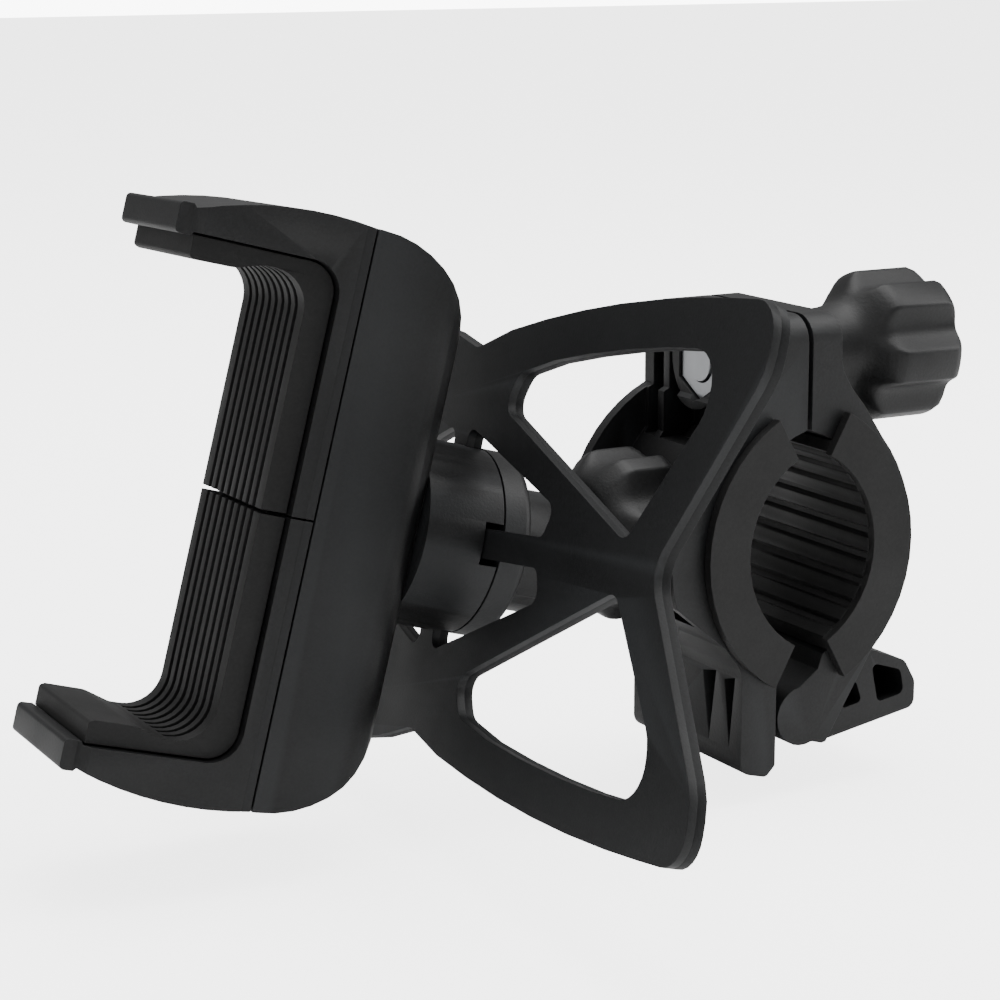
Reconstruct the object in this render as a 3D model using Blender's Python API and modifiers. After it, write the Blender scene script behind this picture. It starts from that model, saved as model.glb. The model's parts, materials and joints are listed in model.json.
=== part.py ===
"""Phone handlebar mount: a spring cradle with a web band, on a ball joint and a handlebar clamp.

Frame: metres, +Z up, origin at the centre of the handlebar bore. The bore runs along Y,
the knob points to +X and the phone cradle sits on the -X side, tilted on its ball.
Cradle pieces are written in the cradle's own frame, whose origin is the ball's centre:
x out of the cradle's back, y along the phone's length, z across the phone's width.
"""

from math import acos, atan2, cos, degrees, pi, radians, sin, sqrt, tan

import bmesh
import bpy
from mathutils import Matrix, Vector

mm = 0.001

# ---- driving dimensions: clearances shared by every fit -------------------------------------
gap = 0.3 * mm              # between touching pieces
running = 0.4 * mm          # round a sliding or turning piece

# ---- handlebar clamp -------------------------------------------------------------------------
clamp_length = 30.0 * mm    # of the jaws along the handlebar
pad_radius = 15.9 * mm      # bore of the rubber liners, for a 31.8 mm bar
closed_width = 22.0 * mm    # across the closed bore, jaw to jaw
pad_wall = 2.4 * mm         # liner under the jaw
pad_flange_wall = 1.5 * mm  # liner flange at each end of the bore
pad_flange_height = 7.2 * mm
pad_arc = 122.0             # degrees of bore that one liner covers
rib_count = 9
rib_depth = 0.7 * mm
jaw_wall = 5.9 * mm         # jaw material outside the liner
ear_height = 34.8 * mm      # top of the ears above the bore
ear_gap = 0.8 * mm
fixed_ear = 9.4 * mm        # thickness of the ear that holds the nut
swing_ear = 5.2 * mm
bolt_height = 26.8 * mm     # clamp bolt above the bore
bolt_diameter = 6.0 * mm    # M6
nut_flats = 10.0 * mm
nut_height = 5.0 * mm
nut_boss_radius = 7.2 * mm  # round the nut's pocket
ear_core_depth = 4.6 * mm   # of the hollow round the nut's boss
hinge_drop = 25.8 * mm      # clamp hinge below the bore
knuckle_radius = 4.6 * mm
knuckle_width = 15.0 * mm   # the middle knuckle
hinge_pin_diameter = 4.0 * mm
hinge_pin_half = 13.5 * mm   # half of its length, in blind holes
leg_bottom = 34.4 * mm      # lowest point of the fixed jaw below the bore
leg_width = 6.2 * mm
shoulder_radius = 23.6 * mm # round the upper phone side of the fixed jaw
side_wall = 2.6 * mm        # walls left beside a cored pocket
lug_reach = 21.6 * mm       # cored lug under the swing jaw

# ---- knob ------------------------------------------------------------------------------------
knob_diameter = 23.2 * mm
knob_grip = 11.8 * mm       # lobed length
knob_neck = 12.6 * mm       # neck and cone between washer and lobes
knob_neck_radius = 6.4 * mm
knob_lobes = 6
washer_wall = 1.2 * mm

# ---- swivel and ball -------------------------------------------------------------------------
stem_height = 2.0 * mm      # swivel axis above the bore
swivel_boss_radius = 9.2 * mm
swivel_boss_end = 24.0 * mm # face of the swivel boss from the bore's centre
stem_flange_radius = 7.6 * mm
stem_flange_wall = 2.0 * mm
nut_lobes = 7
lock_nut_radius = 12.8 * mm
lock_nut_wall = 2.6 * mm
lock_nut_skirt = 6.4 * mm
ball_radius = 6.5 * mm
ball_reach = 42.5 * mm      # ball centre from the bore's centre
ball_mouth = 3.8 * mm       # socket's mouth behind the ball's centre
neck_radius = 3.9 * mm
cradle_tilt = 15.2          # degrees about Y, top towards the handlebar
cradle_roll = -1.4          # degrees about X
cradle_yaw = -4.0           # degrees about the cradle's own upright axis
band_turn = -5.2            # degrees of the band about the cradle's back axis

# ---- cradle ----------------------------------------------------------------------------------
cradle_width = 26.0 * mm    # along the phone's length
half_height = 40.4 * mm     # half of the cradle across the phone
body_depth = 17.5 * mm
body_end_radius = 16.8 * mm
body_side_radius = 6.5 * mm
body_wall = 2.2 * mm
ball_behind_body = 36.0 * mm  # ball centre behind the body's front rim
cover_wall = 2.2 * mm
flange_front = 3.6 * mm     # jaw's side flange in front of the body's rim
plate_front = 5.2 * mm      # jaw's raised middle
rib_front = 7.6 * mm        # face of the jaw pad's ribs
lip_reach = 27.6 * mm       # tips of the lips in front of the rim
lip_inner = 34.5 * mm       # lip's own inner side from the cradle's middle
pad_inner = 31.0 * mm       # inner side of the lip pads: half the narrowest phone
pad_valley = 32.3 * mm
jaw_pad_width = 23.4 * mm
jaw_travel = 12.0 * mm      # of each jaw
jaw_rib_pitch = 2.5 * mm
jaw_rib_count = 9

# ---- inside the cradle -------------------------------------------------------------------------
slider_near = 15.6 * mm     # slider block's nearer side from the middle
slider_height = 5.5 * mm
slider_depth = 8.0 * mm
rod_diameter = 2.4 * mm
rod_spread = 7.2 * mm
rod_depth = 6.3 * mm
spring_radius = 1.6 * mm
spring_wire = 0.5 * mm
spring_spread = 4.3 * mm
spring_depth = 11.4 * mm
gear_module = 0.8 * mm
gear_teeth = 12
gear_pressure = 25.0
gear_addendum = 0.85        # in modules
gear_dedendum = 1.25
gear_backlash = 0.16 * mm
gear_face = 3.0 * mm
gear_start = 1.0 * mm
post_radius = 1.0 * mm
screw_radius = 1.1 * mm
screw_head_radius = 1.9 * mm
screw_head_height = 1.6 * mm

# ---- web band and boss -------------------------------------------------------------------------
band_wall = 2.5 * mm
band_start = 25.6 * mm      # band's front side behind the body's front rim
band_half_length = 78.0 * mm
band_half_height = 34.7 * mm
band_waist = 27.6 * mm
band_bar = 2.1 * mm         # half of the middle bars
band_slot = 3.0 * mm         # half of the barrel's cross slots for the bars
boss_radius = 13.5 * mm      # of the barrel on both sides of the band
boss_length = 4.5 * mm       # from the band to the collar
boss_sink = 2.2 * mm         # seat of the boss screws behind the band
collar_radius = 8.9 * mm
seat_wall = 0.9 * mm
boss_screw_circle = 10.8 * mm
boss_screw_angle = 52.0

# ---- worked out --------------------------------------------------------------------------------
pad_shift = pad_radius - closed_width / 2
seat_radius = pad_radius + pad_wall + gap
jaw_outer = pad_radius + pad_wall + jaw_wall
fixed_face = -ear_gap / 4
swing_face = ear_gap * 3 / 4
washer_face = swing_face + swing_ear + gap
knob_face = washer_face + washer_wall + gap
band_end = band_start + band_wall
boss_start = band_end + gap
gear_radius = gear_module * gear_teeth / 2

collection_name = "phone_handlebar_mount"
black_plastic = ("moulded_black", (0.018, 0.018, 0.019), 0.55, 0.0)
dark_rubber = ("ribbed_rubber", (0.022, 0.021, 0.020), 0.8, 0.0)
web_rubber = ("web_rubber", (0.024, 0.024, 0.025), 0.62, 0.0)
zinc_steel = ("zinc_steel", (0.55, 0.55, 0.56), 0.35, 1.0)
white_nylon = ("natural_nylon", (0.72, 0.70, 0.66), 0.5, 0.0)


# ---- scene helpers -----------------------------------------------------------------------------
def clear_scene():
    for thing in list(bpy.data.objects):
        bpy.data.objects.remove(thing, do_unlink=True)
    for group in list(bpy.data.collections):
        bpy.data.collections.remove(group)


def new_collection(name):
    group = bpy.data.collections.new(name)
    bpy.context.scene.collection.children.link(group)
    return group


def material(look):
    name, colour, roughness, metallic = look
    found = bpy.data.materials.get(name)
    if found:
        return found
    made = bpy.data.materials.new(name)
    made.use_nodes = True
    shader = made.node_tree.nodes["Principled BSDF"]
    shader.inputs["Base Color"].default_value = (*colour, 1.0)
    shader.inputs["Roughness"].default_value = roughness
    shader.inputs["Metallic"].default_value = metallic
    return made


def empty(name, matrix):
    frame = bpy.data.objects.new(name, None)
    frame.empty_display_size = 0.01
    parts.objects.link(frame)
    frame.matrix_world = matrix
    return frame


def place(thing, frame):
    """Parents a piece to its frame; the piece's own matrix is then inside that frame."""
    thing.parent = frame
    return thing


def mesh_object(name, mesh, matrix=Matrix()):
    thing = bpy.data.objects.new(name, mesh)
    bpy.context.scene.collection.objects.link(thing)
    thing.matrix_local = matrix
    return thing


def finish_piece(thing, look, frame, smooth=False):
    """Files a shape as a sub-part with its own material, in its frame."""
    bpy.context.scene.collection.objects.unlink(thing)
    parts.objects.link(thing)
    thing.data.materials.clear()
    thing.data.materials.append(material(look))
    if smooth:
        thing.data.shade_smooth()
        thing.data.set_sharp_from_angle(angle=radians(35))
    return place(thing, frame)


def apply_boolean(thing, other, operation):
    """Works the Boolean out now, in the shared local frame, and drops the tool object."""
    modifier = thing.modifiers.new(operation.lower(), "BOOLEAN")
    modifier.operation = operation
    modifier.solver = "EXACT"
    modifier.object = other
    bpy.context.view_layer.update()
    evaluated = thing.evaluated_get(bpy.context.evaluated_depsgraph_get())
    result = bpy.data.meshes.new_from_object(evaluated)
    thing.modifiers.remove(modifier)
    thing.data = result
    bpy.data.objects.remove(other, do_unlink=True)
    return thing


def cut(thing, *tools):
    for tool in tools:
        apply_boolean(thing, tool, "DIFFERENCE")
    return thing


def join(thing, *others):
    for other in others:
        apply_boolean(thing, other, "UNION")
    return thing


def keep_common(thing, other):
    return apply_boolean(thing, other, "INTERSECT")


# ---- shapes --------------------------------------------------------------------------------------
def box(name, low, high):
    shape = bmesh.new()
    bmesh.ops.create_cube(shape, size=1.0)
    size = [b - a for a, b in zip(low, high)]
    centre = [(a + b) / 2 for a, b in zip(low, high)]
    bmesh.ops.scale(shape, vec=size, verts=shape.verts)
    bmesh.ops.translate(shape, vec=centre, verts=shape.verts)
    mesh = bpy.data.meshes.new(name)
    shape.to_mesh(mesh)
    shape.free()
    return mesh_object(name, mesh)


axis_turns = {
    "X": Matrix.Rotation(pi / 2, 4, "Y"),
    "Y": Matrix.Rotation(-pi / 2, 4, "X"),
    "Z": Matrix(),
}


def rod(name, radius, start, end, axis="X", at=(0.0, 0.0), sides=32, turn=0.0):
    """A cylinder along one axis, from start to end; at is its place on the other two."""
    shape = bmesh.new()
    bmesh.ops.create_cone(
        shape, cap_ends=True, segments=sides, radius1=radius, radius2=radius, depth=end - start
    )
    bmesh.ops.rotate(shape, matrix=Matrix.Rotation(turn, 3, "Z"), verts=shape.verts)
    bmesh.ops.transform(shape, matrix=axis_turns[axis], verts=shape.verts)
    middle = (start + end) / 2
    offset = {"X": (middle, *at), "Y": (at[0], middle, at[1]), "Z": (*at, middle)}[axis]
    bmesh.ops.translate(shape, vec=offset, verts=shape.verts)
    mesh = bpy.data.meshes.new(name)
    shape.to_mesh(mesh)
    shape.free()
    return mesh_object(name, mesh)


def turned(name, profile, steps=48):
    """A body turned about X from (x, radius) points that end on the axis or else form a ring."""
    shape = bmesh.new()
    points = [shape.verts.new((radius, 0.0, x)) for x, radius in profile]
    for one, two in zip(points, points[1:]):
        shape.edges.new((one, two))
    if profile[0][1] > 0:
        shape.edges.new((points[-1], points[0]))
    mesh = bpy.data.meshes.new(name)
    shape.to_mesh(mesh)
    shape.free()
    thing = mesh_object(name, mesh)
    screw = thing.modifiers.new("turn", "SCREW")
    screw.steps = screw.render_steps = steps
    screw.use_merge_vertices = True
    screw.merge_threshold = 1e-6
    bpy.context.view_layer.update()
    result = bpy.data.meshes.new_from_object(
        thing.evaluated_get(bpy.context.evaluated_depsgraph_get())
    )
    result.transform(axis_turns["X"])
    thing.modifiers.clear()
    thing.data = result
    return face_out(thing)


def face_out(thing):
    shape = bmesh.new()
    shape.from_mesh(thing.data)
    bmesh.ops.recalc_face_normals(shape, faces=shape.faces)
    shape.to_mesh(thing.data)
    shape.free()
    return thing


def rounded(corners, step=15.0):
    """An outline from (x, y, radius) corners, with an arc at each corner that has a radius."""
    points = []
    count = len(corners)
    for index, (x, y, radius) in enumerate(corners):
        here = Vector((x, y))
        before = (Vector(corners[index - 1][:2]) - here).normalized()
        after = (Vector(corners[(index + 1) % count][:2]) - here).normalized()
        half = acos(max(-1.0, min(1.0, before.dot(after)))) / 2
        if radius <= 0 or half > radians(89):
            points.append(tuple(here))
            continue
        centre = here + (before + after).normalized() * (radius / sin(half))
        first = here + before * (radius / tan(half)) - centre
        last = here + after * (radius / tan(half)) - centre
        turn = atan2(first.x * last.y - first.y * last.x, first.dot(last))
        pieces = max(2, round(abs(degrees(turn)) / step))
        for k in range(pieces + 1):
            angle = turn * k / pieces
            spoke = Matrix.Rotation(angle, 2) @ first
            points.append(tuple(centre + spoke))
    return points


def arc(centre, radius, start, end, pieces):
    """Points of an arc, angles in degrees from the outline's first axis."""
    turn = [radians(start + (end - start) * k / pieces) for k in range(pieces + 1)]
    return [(centre[0] + radius * cos(a), centre[1] + radius * sin(a)) for a in turn]


plane_turns = {
    "XZ": Matrix(((1, 0, 0, 0), (0, 0, -1, 0), (0, 1, 0, 0), (0, 0, 0, 1))),
    "YZ": Matrix(((0, 0, 1, 0), (1, 0, 0, 0), (0, 1, 0, 0), (0, 0, 0, 1))),
    "XY": Matrix(),
}
normals = {"XZ": Vector((0, 1, 0)), "YZ": Vector((1, 0, 0)), "XY": Vector((0, 0, 1))}


def flat(name, loops, low, high, plane):
    """A flat outline with its holes, extruded square to its plane from low to high."""
    curve = bpy.data.curves.new(name, "CURVE")
    curve.dimensions = "2D"
    curve.fill_mode = "BOTH"
    curve.extrude = (high - low) / 2
    for loop in loops:
        spline = curve.splines.new("POLY")
        spline.points.add(len(loop) - 1)
        for point, (x, y) in zip(spline.points, loop):
            point.co = (x, y, 0.0, 1.0)
        spline.use_cyclic_u = True
    drawn = bpy.data.objects.new(name, curve)
    bpy.context.scene.collection.objects.link(drawn)
    bpy.context.view_layer.update()
    evaluated = drawn.evaluated_get(bpy.context.evaluated_depsgraph_get())
    mesh = bpy.data.meshes.new_from_object(evaluated)
    bpy.data.objects.remove(drawn, do_unlink=True)
    bpy.data.curves.remove(curve)
    shape = bmesh.new()
    shape.from_mesh(mesh)
    bmesh.ops.remove_doubles(shape, verts=shape.verts, dist=1e-6)
    bmesh.ops.transform(shape, matrix=plane_turns[plane], verts=shape.verts)
    bmesh.ops.translate(shape, vec=normals[plane] * (low + high) / 2, verts=shape.verts)
    bmesh.ops.recalc_face_normals(shape, faces=shape.faces)
    shape.to_mesh(mesh)
    shape.free()
    return mesh_object(name, mesh)


def mirrored(outline, across):
    """The same outline on the other side of an axis, 0 for left to right and 1 for up and down."""
    flipped = [(-x, y) if across == 0 else (x, -y) for x, y in outline]
    return flipped[::-1]


def screw(name, start, end, at, head_at_end=True):
    """A small screw along X with a pan head and a cross-free round driver recess."""
    body = rod(name, screw_radius - gap / 2, start, end, at=at, sides=16)
    if head_at_end:
        head = rod("head", screw_head_radius, end - 0.2 * mm, end + screw_head_height, at=at, sides=20)
        socket = rod("socket", 0.8 * mm, end + 0.8 * mm, end + 3 * mm, at=at, sides=6)
    else:
        head = rod("head", screw_head_radius, start - screw_head_height, start + 0.2 * mm, at=at, sides=20)
        socket = rod("socket", 0.8 * mm, start - 3 * mm, start - 0.8 * mm, at=at, sides=6)
    return cut(join(body, head), socket)


# ---- handlebar clamp -----------------------------------------------------------------------------
def ear_round():
    """Rounds the ears' upper corners, seen along the bolt."""
    half = clamp_length / 2
    corners = [(-half, -60 * mm, 0), (half, -60 * mm, 0), (half, ear_height, 4 * mm), (-half, ear_height, 4 * mm)]
    return flat("ear_round", [rounded(corners)], -60 * mm, 60 * mm, "YZ")


def seat_points(centre_x, radius, start_x, end_x, side):
    """Part of a seat circle between two distances from the bore's axis, going up."""
    low = degrees(atan2(-sqrt(radius**2 - (start_x - centre_x) ** 2), start_x - centre_x))
    high = degrees(atan2(sqrt(radius**2 - (end_x - centre_x) ** 2), end_x - centre_x))
    if side < 0:
        low += 360
    return arc((centre_x, 0.0), radius, low, high, 18)


def make_fixed_jaw():
    half = clamp_length / 2
    leg_right = -(knuckle_radius + gap)
    leg_left = leg_right - leg_width
    ear_left = fixed_face - fixed_ear
    shoulder_top = degrees(acos(ear_left / shoulder_radius))
    outline = [(fixed_face, ear_height), (ear_left + 1.5 * mm, ear_height), (ear_left, ear_height - 1.5 * mm)]
    outline += arc((0, 0), shoulder_radius, shoulder_top, 196, 12)
    seat = seat_points(pad_shift, seat_radius, leg_right, fixed_face, -1)
    outline += rounded(
        [
            (*outline[-1], 0),
            (leg_left - 3 * mm, -13.5 * mm, 2 * mm),
            (leg_left, -17.5 * mm, 3 * mm),
            (leg_left, 1.2 * mm - leg_bottom, 2 * mm),
            (leg_right - 1.6 * mm, -leg_bottom, 1 * mm),
            (leg_right, 1.6 * mm - leg_bottom, 0.6 * mm),
            (*seat[0], 0),
        ]
    )[1:-1]
    outline += seat
    jaw = keep_common(flat("fixed_jaw", [outline], -half, half, "XZ"), ear_round())

    floor = seat_radius + 2.9 * mm
    pocket_top = degrees(acos((ear_left - 1 * mm - pad_shift) / floor))
    pocket = arc((pad_shift, 0), floor, pocket_top, 208, 10)
    pocket += [(-30 * mm, pocket[-1][1]), (-30 * mm, 22 * mm), (pocket[0][0], 22 * mm)]
    inner = half - side_wall + 0.6 * mm
    cut(jaw, flat("pocket", [pocket], -inner, inner, "XZ"))

    knuckle = rod("knuckle", knuckle_radius, -knuckle_width / 2 + gap / 2, knuckle_width / 2 - gap / 2,
                  axis="Y", at=(0, -hinge_drop), sides=40)
    web_low = (leg_right - 2 * mm, -knuckle_width / 2 + gap / 2, -hinge_drop - knuckle_radius * 0.8)
    web_high = (0, knuckle_width / 2 - gap / 2, -hinge_drop + knuckle_radius * 0.8)
    join(jaw, knuckle, box("web", web_low, web_high))
    cut(jaw, rod("pin_hole", hinge_pin_diameter / 2 + gap, -half - 1 * mm, half + 1 * mm,
                 axis="Y", at=(0, -hinge_drop), sides=32))

    nut_back = -swivel_boss_end + lock_nut_skirt
    relief = rod("relief", lock_nut_radius + 0.6 * mm, -30 * mm, nut_back + gap, at=(0, stem_height), sides=48)
    cut(jaw, relief)
    boss = rod("boss", swivel_boss_radius, -swivel_boss_end, -15.2 * mm, at=(0, stem_height), sides=48)
    boss_bore = rod("boss_bore", neck_radius + running, -swivel_boss_end - 1 * mm, -18.4 * mm,
                    at=(0, stem_height), sides=32)
    join(jaw, boss)
    cut(jaw, boss_bore)

    inner -= 0.6 * mm
    core = box("ear_core", (-30 * mm, -inner, 14 * mm), (ear_left + ear_core_depth, inner, ear_height - 2.4 * mm))
    cut(core, rod("nut_boss", nut_boss_radius, -31 * mm, 0, at=(0, bolt_height), sides=40))
    for side in (-1, 1):
        y = side * (nut_boss_radius + 1.6 * mm)
        cut(core, box("rib", (-31 * mm, y - 0.8 * mm, 0), (0, y + 0.8 * mm, ear_height)))
    cut(jaw, core)
    hex_radius = (nut_flats / 2 + gap) / cos(pi / 6)
    hex_hole = rod("hex_hole", hex_radius, ear_left - 4 * mm, hex_nut_start() + nut_height + gap,
                   at=(0, bolt_height), sides=6, turn=pi / 6)
    bolt_hole = rod("bolt_hole", bolt_diameter / 2 + running, -20 * mm, 5 * mm, at=(0, bolt_height))
    cut(jaw, hex_hole, bolt_hole)
    for side in (-1, 1):
        for wide, narrow in ((13.2, 10.4), (8.2, 4.6)):
            corners = [(side * wide * mm, -18.8 * mm), (side * narrow * mm, -19.6 * mm),
                       (side * (wide + narrow) / 2 * mm, -30 * mm)]
            cut(jaw, flat("core", [corners], leg_left - 2 * mm, leg_left + 2.6 * mm, "YZ"))
    return jaw


def hex_nut_start():
    return fixed_face - fixed_ear + 0.4 * mm


def make_hex_nut():
    radius = nut_flats / 2 / cos(pi / 6)
    start = hex_nut_start()
    nut = rod("hex_nut", radius, start, start + nut_height, at=(0, bolt_height), sides=6, turn=pi / 6)
    bore = rod("bore", bolt_diameter / 2 + gap, start - 1 * mm, start + nut_height + 1 * mm, at=(0, bolt_height))
    return cut(nut, bore)


def make_swing_jaw():
    half = clamp_length / 2
    ear_right = swing_face + swing_ear
    outline = [(swing_face, ear_height), (ear_right - 0.8 * mm, ear_height), (ear_right, ear_height - 0.8 * mm)]
    outline += [(ear_right, 28 * mm), (ear_right + 0.5 * mm, 26 * mm), (ear_right + 1.9 * mm, 23.6 * mm)]
    outline += [(ear_right + 4.4 * mm, 20.6 * mm)]
    outline += arc((-pad_shift, 0), jaw_outer, 40, -45, 14)
    outline += rounded(
        [
            (*outline[-1], 0),
            (lug_reach - 2 * mm, -20 * mm, 2 * mm),
            (lug_reach, -23.5 * mm, 1.5 * mm),
            (lug_reach, -27.6 * mm, 1.5 * mm),
            (3.6 * mm, -30.6 * mm, 0),
        ]
    )[1:]
    outline += arc((0, -hinge_drop), knuckle_radius, -68, -262, 14)
    outline += [(2.6 * mm, -18.9 * mm)]
    outline += seat_points(-pad_shift, seat_radius, 3.4 * mm, swing_face, 1)
    jaw = keep_common(flat("swing_jaw", [outline], -half, half, "XZ"), ear_round())

    clear = knuckle_width / 2 + gap / 2
    middle = rod("middle", knuckle_radius + running, -clear, clear, axis="Y", at=(0, -hinge_drop), sides=40)
    web_room = box("web_room", (-12 * mm, -clear, -hinge_drop - 6 * mm), (0, clear, -hinge_drop + 6 * mm))
    pin_hole = rod("pin_hole", hinge_pin_diameter / 2 + gap, -hinge_pin_half - gap, hinge_pin_half + gap,
                   axis="Y", at=(0, -hinge_drop), sides=32)
    spot = rod("spot", knob_neck_radius + 2.0 * mm, ear_right, 40 * mm, at=(0, bolt_height), sides=40)
    slot = rod("slot", bolt_diameter / 2 + 0.9 * mm, -5 * mm, 12 * mm, at=(0, bolt_height))
    cut(jaw, middle, web_room, pin_hole, spot, slot)
    step = [(13.2 * mm, -16.2 * mm), (3.4 * mm, -32 * mm), (26 * mm, -32 * mm), (26 * mm, -16.2 * mm)]
    small = rounded([(10.2 * mm, -21.6 * mm, 0.5 * mm), (7.4 * mm, -26.2 * mm, 0.5 * mm),
                     (11.6 * mm, -25.4 * mm, 0.8 * mm)])
    large = rounded([(13.2 * mm, -19.6 * mm, 0.8 * mm), (14.6 * mm, -26.0 * mm, 0.8 * mm),
                     (19.6 * mm, -25.2 * mm, 1.2 * mm), (18.8 * mm, -21.4 * mm, 1.2 * mm)])
    for side in (-1, 1):
        near, far = sorted((side * half * 1.1, side * (half - 0.8 * mm)))
        deep_near, deep_far = sorted((side * half * 1.1, side * 7.0 * mm))
        cut(jaw, flat("step", [step], near, far, "XZ"))
        cut(jaw, flat("small", [small], deep_near, deep_far, "XZ"))
        cut(jaw, flat("large", [large], deep_near, deep_far, "XZ"))
    return jaw


def make_bore_pad(name, side):
    """Half of the ribbed liner; side is -1 for the fixed jaw and 1 for the swing jaw."""
    centre = (-side * pad_shift, 0.0)
    half = clamp_length / 2
    facing = 180 if side < 0 else 0
    start, end = facing - pad_arc / 2, facing + pad_arc / 2
    inner = []
    rib_span = (end - start) / rib_count
    for k in range(rib_count):
        a = start + k * rib_span
        inner += arc(centre, pad_radius, a + rib_span * 0.08, a + rib_span * 0.62, 2)
        inner += arc(centre, pad_radius + rib_depth, a + rib_span * 0.74, a + rib_span * 0.96, 1)
    outer = arc(centre, pad_radius + pad_wall, end, start, 16)
    pad = flat(name, [inner + outer], -half - gap - 0.2 * mm, half + gap + 0.2 * mm, "XZ")
    for end_side in (-1, 1):
        a = end_side * (half + gap)
        low, high = sorted((a, a + end_side * pad_flange_wall))
        face = arc(centre, pad_radius + 0.2 * mm, start, end, 16)
        face += arc(centre, pad_radius + pad_flange_height, end, start, 16)
        join(pad, flat("flange", [face], low, high, "XZ"))
    return pad


def fluted(radius, count, ridge, depth, phase=0.0, pieces=6):
    """A ring of flat-topped ridges with concave flutes between them, as an outline."""
    points = []
    half_ridge = ridge / 2 / radius
    for k in range(count):
        middle = 2 * pi * k / count + phase
        following = middle + 2 * pi / count
        one, two = middle + half_ridge, following - half_ridge
        points.append((radius * cos(middle - half_ridge), radius * sin(middle - half_ridge)))
        ends = [Vector((radius * cos(a), radius * sin(a))) for a in (one, two)]
        chord = ends[1] - ends[0]
        inward = -(ends[0] + ends[1]).normalized()
        for j in range(pieces):
            share = j / pieces
            point = ends[0] + chord * share + inward * depth * 4 * share * (1 - share)
            points.append(tuple(point))
    return points


def make_knob():
    lobes_start = knob_face + knob_neck
    end = lobes_start + knob_grip
    radius = knob_diameter / 2
    star = flat("clamp_knob", [fluted(radius, knob_lobes, 5.0 * mm, 2.3 * mm, radians(10))],
                lobes_start - 6 * mm, end + 1 * mm, "YZ")
    envelope = turned(
        "envelope",
        [(end, 0), (end, radius - 1.4 * mm), (end - 1.2 * mm, radius + 0.4 * mm),
         (lobes_start, radius + 0.4 * mm), (lobes_start - 5 * mm, knob_neck_radius - 0.5 * mm),
         (lobes_start - 5 * mm, 0)],
    )
    keep_common(star, envelope)
    neck = turned(
        "neck",
        [(lobes_start + 3 * mm, 0), (lobes_start + 3 * mm, radius - 3.6 * mm),
         (lobes_start - 8 * mm, knob_neck_radius), (knob_face, knob_neck_radius), (knob_face, 0)],
        steps=40,
    )
    join(star, neck)
    hole = rod("hole", bolt_diameter / 2 + gap, knob_face - 1 * mm, end - 8 * mm, sides=30)
    cut(star, hole)
    star.data.transform(Matrix.Translation((0, 0, bolt_height)))
    return star


def make_bolt():
    end = knob_face + knob_neck + knob_grip - 8 * mm - gap
    return rod("clamp_bolt", bolt_diameter / 2, fixed_face - fixed_ear, end, at=(0, bolt_height))


def make_washer():
    ring = rod("thrust_washer", knob_neck_radius + 0.6 * mm, washer_face, washer_face + washer_wall,
               at=(0, bolt_height), sides=40)
    hole = rod("hole", bolt_diameter / 2 + gap, washer_face - 1 * mm, washer_face + 3 * mm, at=(0, bolt_height))
    return cut(ring, hole)


# ---- swivel ----------------------------------------------------------------------------------------
def make_stem():
    flange = -swivel_boss_end - gap
    joint = -ball_reach + sqrt(ball_radius**2 - neck_radius**2)
    open_angle = degrees(acos(sqrt(ball_radius**2 - neck_radius**2) / ball_radius))
    profile = [(-18.8 * mm, 0), (-18.8 * mm, neck_radius), (flange, neck_radius),
               (flange, stem_flange_radius), (flange - stem_flange_wall, stem_flange_radius),
               (flange - stem_flange_wall, neck_radius), (joint, neck_radius)]
    ball = arc((-ball_reach, 0), ball_radius, open_angle, 180, 14)
    profile += ball[1:-1] + [(-ball_reach - ball_radius, 0)]
    stem = turned("ball_stem", profile, steps=40)
    stem.data.transform(Matrix.Translation((0, 0, stem_height)))
    return stem


def stem_washer_span():
    end = -swivel_boss_end - gap - stem_flange_wall - gap
    return end - 0.8 * mm, end


def make_stem_washer():
    start, end = stem_washer_span()
    ring = rod("stem_washer", stem_flange_radius, start, end, at=(0, stem_height), sides=40)
    return cut(ring, rod("hole", neck_radius + gap, start - 1 * mm, end + 1 * mm, at=(0, stem_height)))


def make_lock_nut():
    front = stem_washer_span()[0] - gap - lock_nut_wall
    back = -swivel_boss_end + lock_nut_skirt
    star = flat("lock_nut", [fluted(lock_nut_radius, nut_lobes, 3.0 * mm, 2.2 * mm, radians(12))],
                front - 1 * mm, back, "YZ")
    envelope = turned(
        "envelope",
        [(back, 0), (back, lock_nut_radius - 0.8 * mm), (back - 0.8 * mm, lock_nut_radius + 0.2 * mm),
         (front + 5.0 * mm, lock_nut_radius + 0.2 * mm), (front, 8.6 * mm), (front, 0)],
    )
    keep_common(star, envelope)
    bore = rod("bore", swivel_boss_radius + gap, front + lock_nut_wall, back + 1 * mm, sides=48)
    mouth = rod("mouth", neck_radius + running, front - 2 * mm, back, sides=32)
    cut(star, bore, mouth)
    star.data.transform(Matrix.Translation((0, 0, stem_height)))
    return star


# ---- cradle, written from the centre of the body's front rim ----------------------------------------
def boss_screw_places():
    y = boss_screw_circle * cos(radians(boss_screw_angle))
    z = boss_screw_circle * sin(radians(boss_screw_angle))
    return {"upper": (y, z), "lower": (-y, -z)}


def boss_profile():
    """Outer side of the rear boss, from its mouth to the band: a collar, then the barrel."""
    mouth, end = ball_behind_body + ball_mouth, boss_start + boss_length
    barrel = arc((end - 1.2 * mm, boss_radius - 1.2 * mm), 1.2 * mm, 0, 90, 4)
    return [(mouth, collar_radius - 0.5 * mm), (mouth - 0.5 * mm, collar_radius), (end + 0.6 * mm, collar_radius),
            (end, collar_radius + 0.6 * mm)] + barrel + [(boss_start, boss_radius)]


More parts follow.
